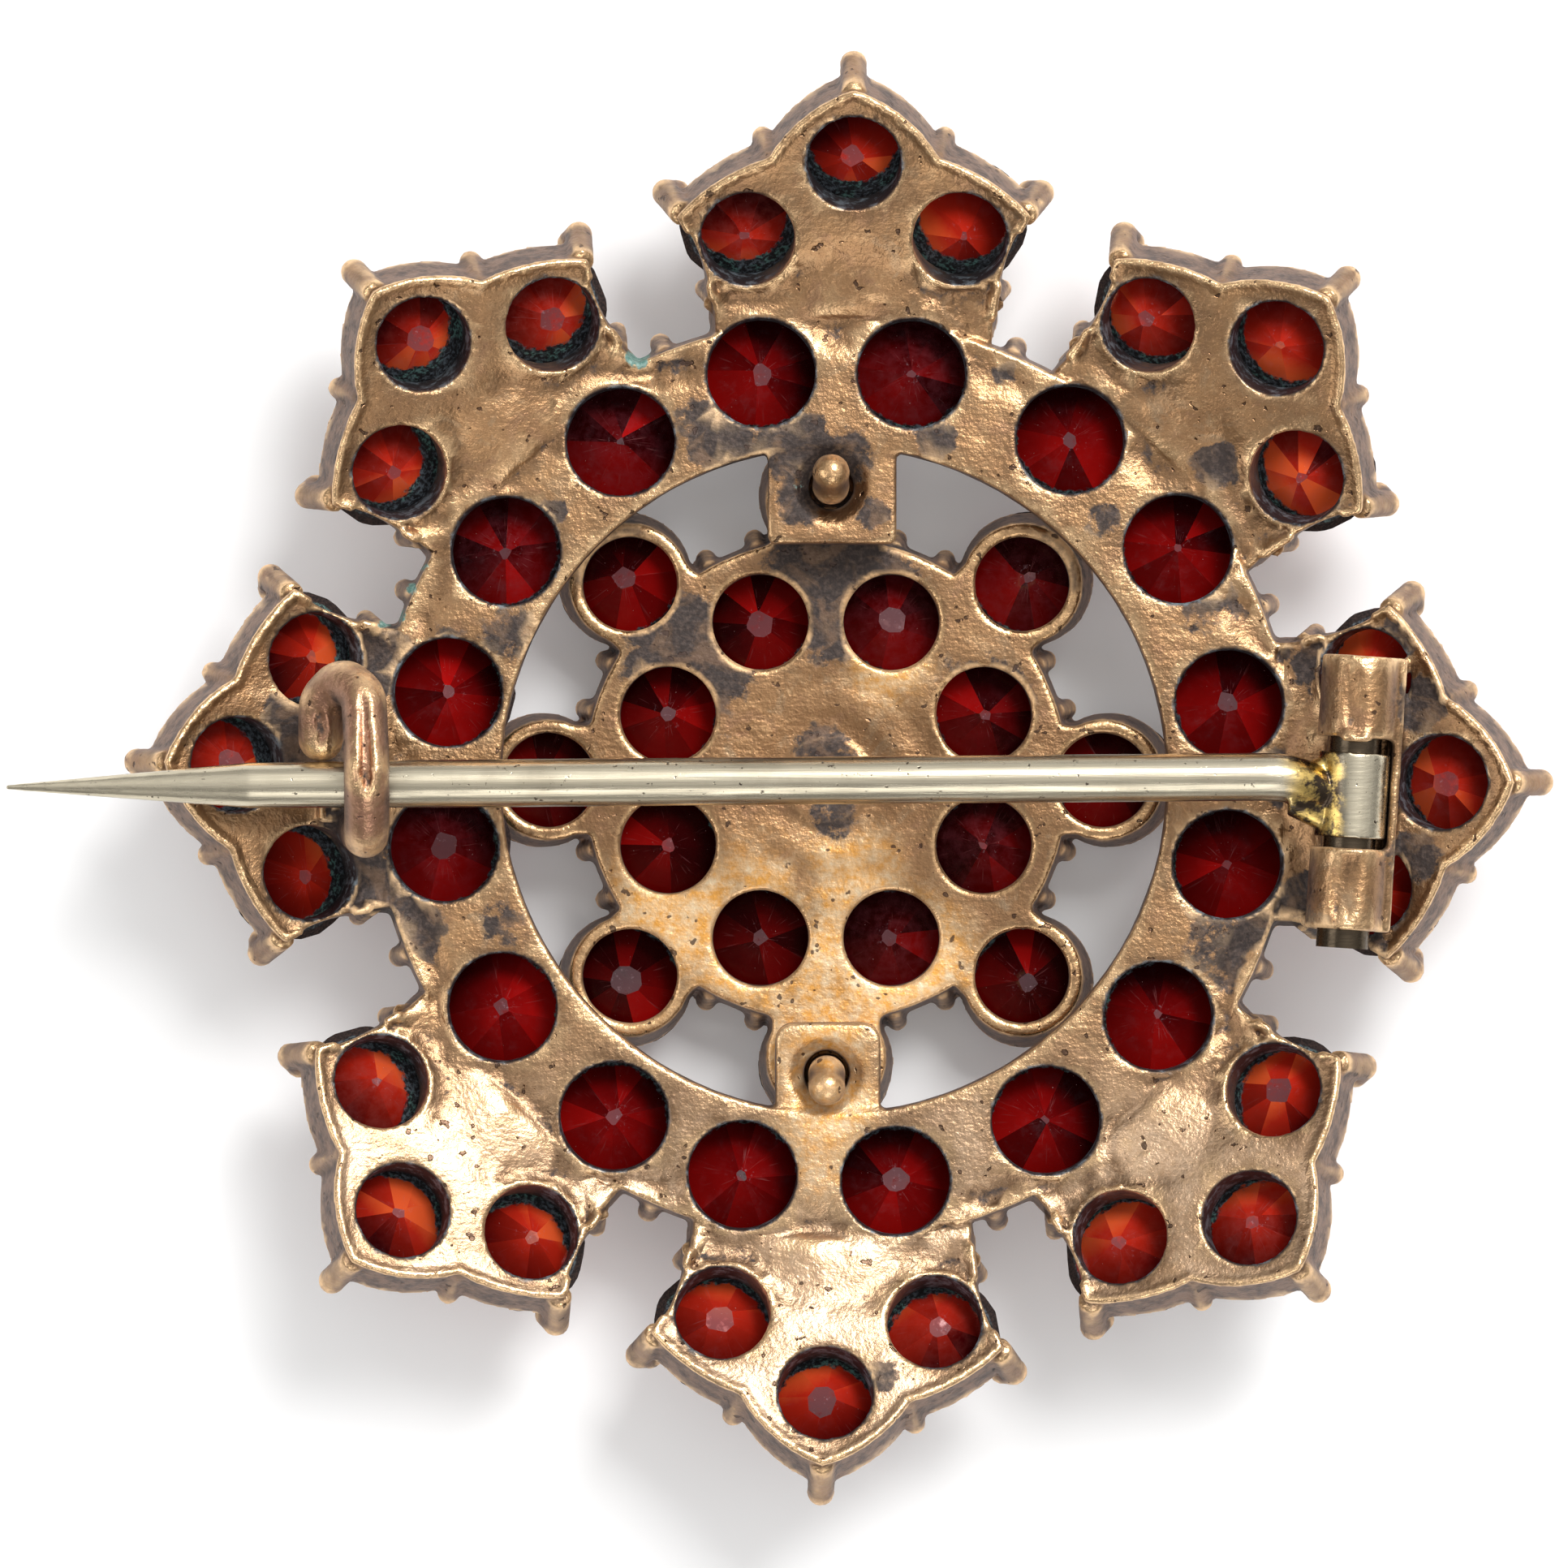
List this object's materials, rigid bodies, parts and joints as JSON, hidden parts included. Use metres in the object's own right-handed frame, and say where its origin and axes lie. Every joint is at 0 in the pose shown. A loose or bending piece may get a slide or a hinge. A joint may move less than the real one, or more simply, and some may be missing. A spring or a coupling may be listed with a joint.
{
  "type": "garnet star brooch",
  "caption": "Star-shaped garnet brooch in two claw-set tiers, seen from its back, with a hinged pin and a hooked catch.",
  "frame": {"origin": "the point of the centre stone's table that lies at the middle of the outer frame", "axes": "+Z out of the brooch's back, +Y along the first arm, and the pin's point lies at -X"},
  "size_m": [0.0383, 0.0361, 0.0096],
  "materials": {
    "gilt_tombac": "worn satin gilt tombac with darker walls and tarnish",
    "nickel_silver": "drawn nickel silver wire with lengthwise scratches",
    "garnet": "polished deep red faceted stone"
  },
  "bodies": {
    "root": {"outer_frame": "gilt_tombac", "inner_star": "gilt_tombac", "hinge_pin": "nickel_silver", "centre_stone": "garnet", "inner_star_stones": "garnet", "ring_stone_01": "garnet", "ring_stone_02": "garnet", "ring_stone_03": "garnet", "ring_stone_04": "garnet", "ring_stone_05": "garnet", "ring_stone_06": "garnet", "ring_stone_07": "garnet", "ring_stone_08": "garnet", "ring_stone_09": "garnet", "ring_stone_10": "garnet", "ring_stone_11": "garnet", "ring_stone_12": "garnet", "ring_stone_13": "garnet", "ring_stone_14": "garnet", "ring_stone_15": "garnet", "ring_stone_16": "garnet", "tip_stone_01": "garnet", "tip_stone_02": "garnet", "tip_stone_03": "garnet", "tip_stone_04": "garnet", "tip_stone_05": "garnet", "tip_stone_06": "garnet", "tip_stone_07": "garnet", "tip_stone_08": "garnet", "tip_stone_09": "garnet", "tip_stone_10": "garnet", "tip_stone_11": "garnet", "tip_stone_12": "garnet", "tip_stone_13": "garnet", "tip_stone_14": "garnet", "tip_stone_15": "garnet", "tip_stone_16": "garnet", "tip_stone_17": "garnet", "tip_stone_18": "garnet", "tip_stone_19": "garnet", "tip_stone_20": "garnet", "tip_stone_21": "garnet", "tip_stone_22": "garnet", "tip_stone_23": "garnet", "tip_stone_24": "garnet"},
    "pin": {"pin_stem": "nickel_silver"}
  },
  "joints": [
    {"name": "pin_hinge", "type": "hinge", "parent": "root", "child": "pin", "pos_m": [0.01277, -0.00038, 0.00653], "axis": [0.0663, 0.9978, 0], "range_deg": [0, 120]}
  ]
}
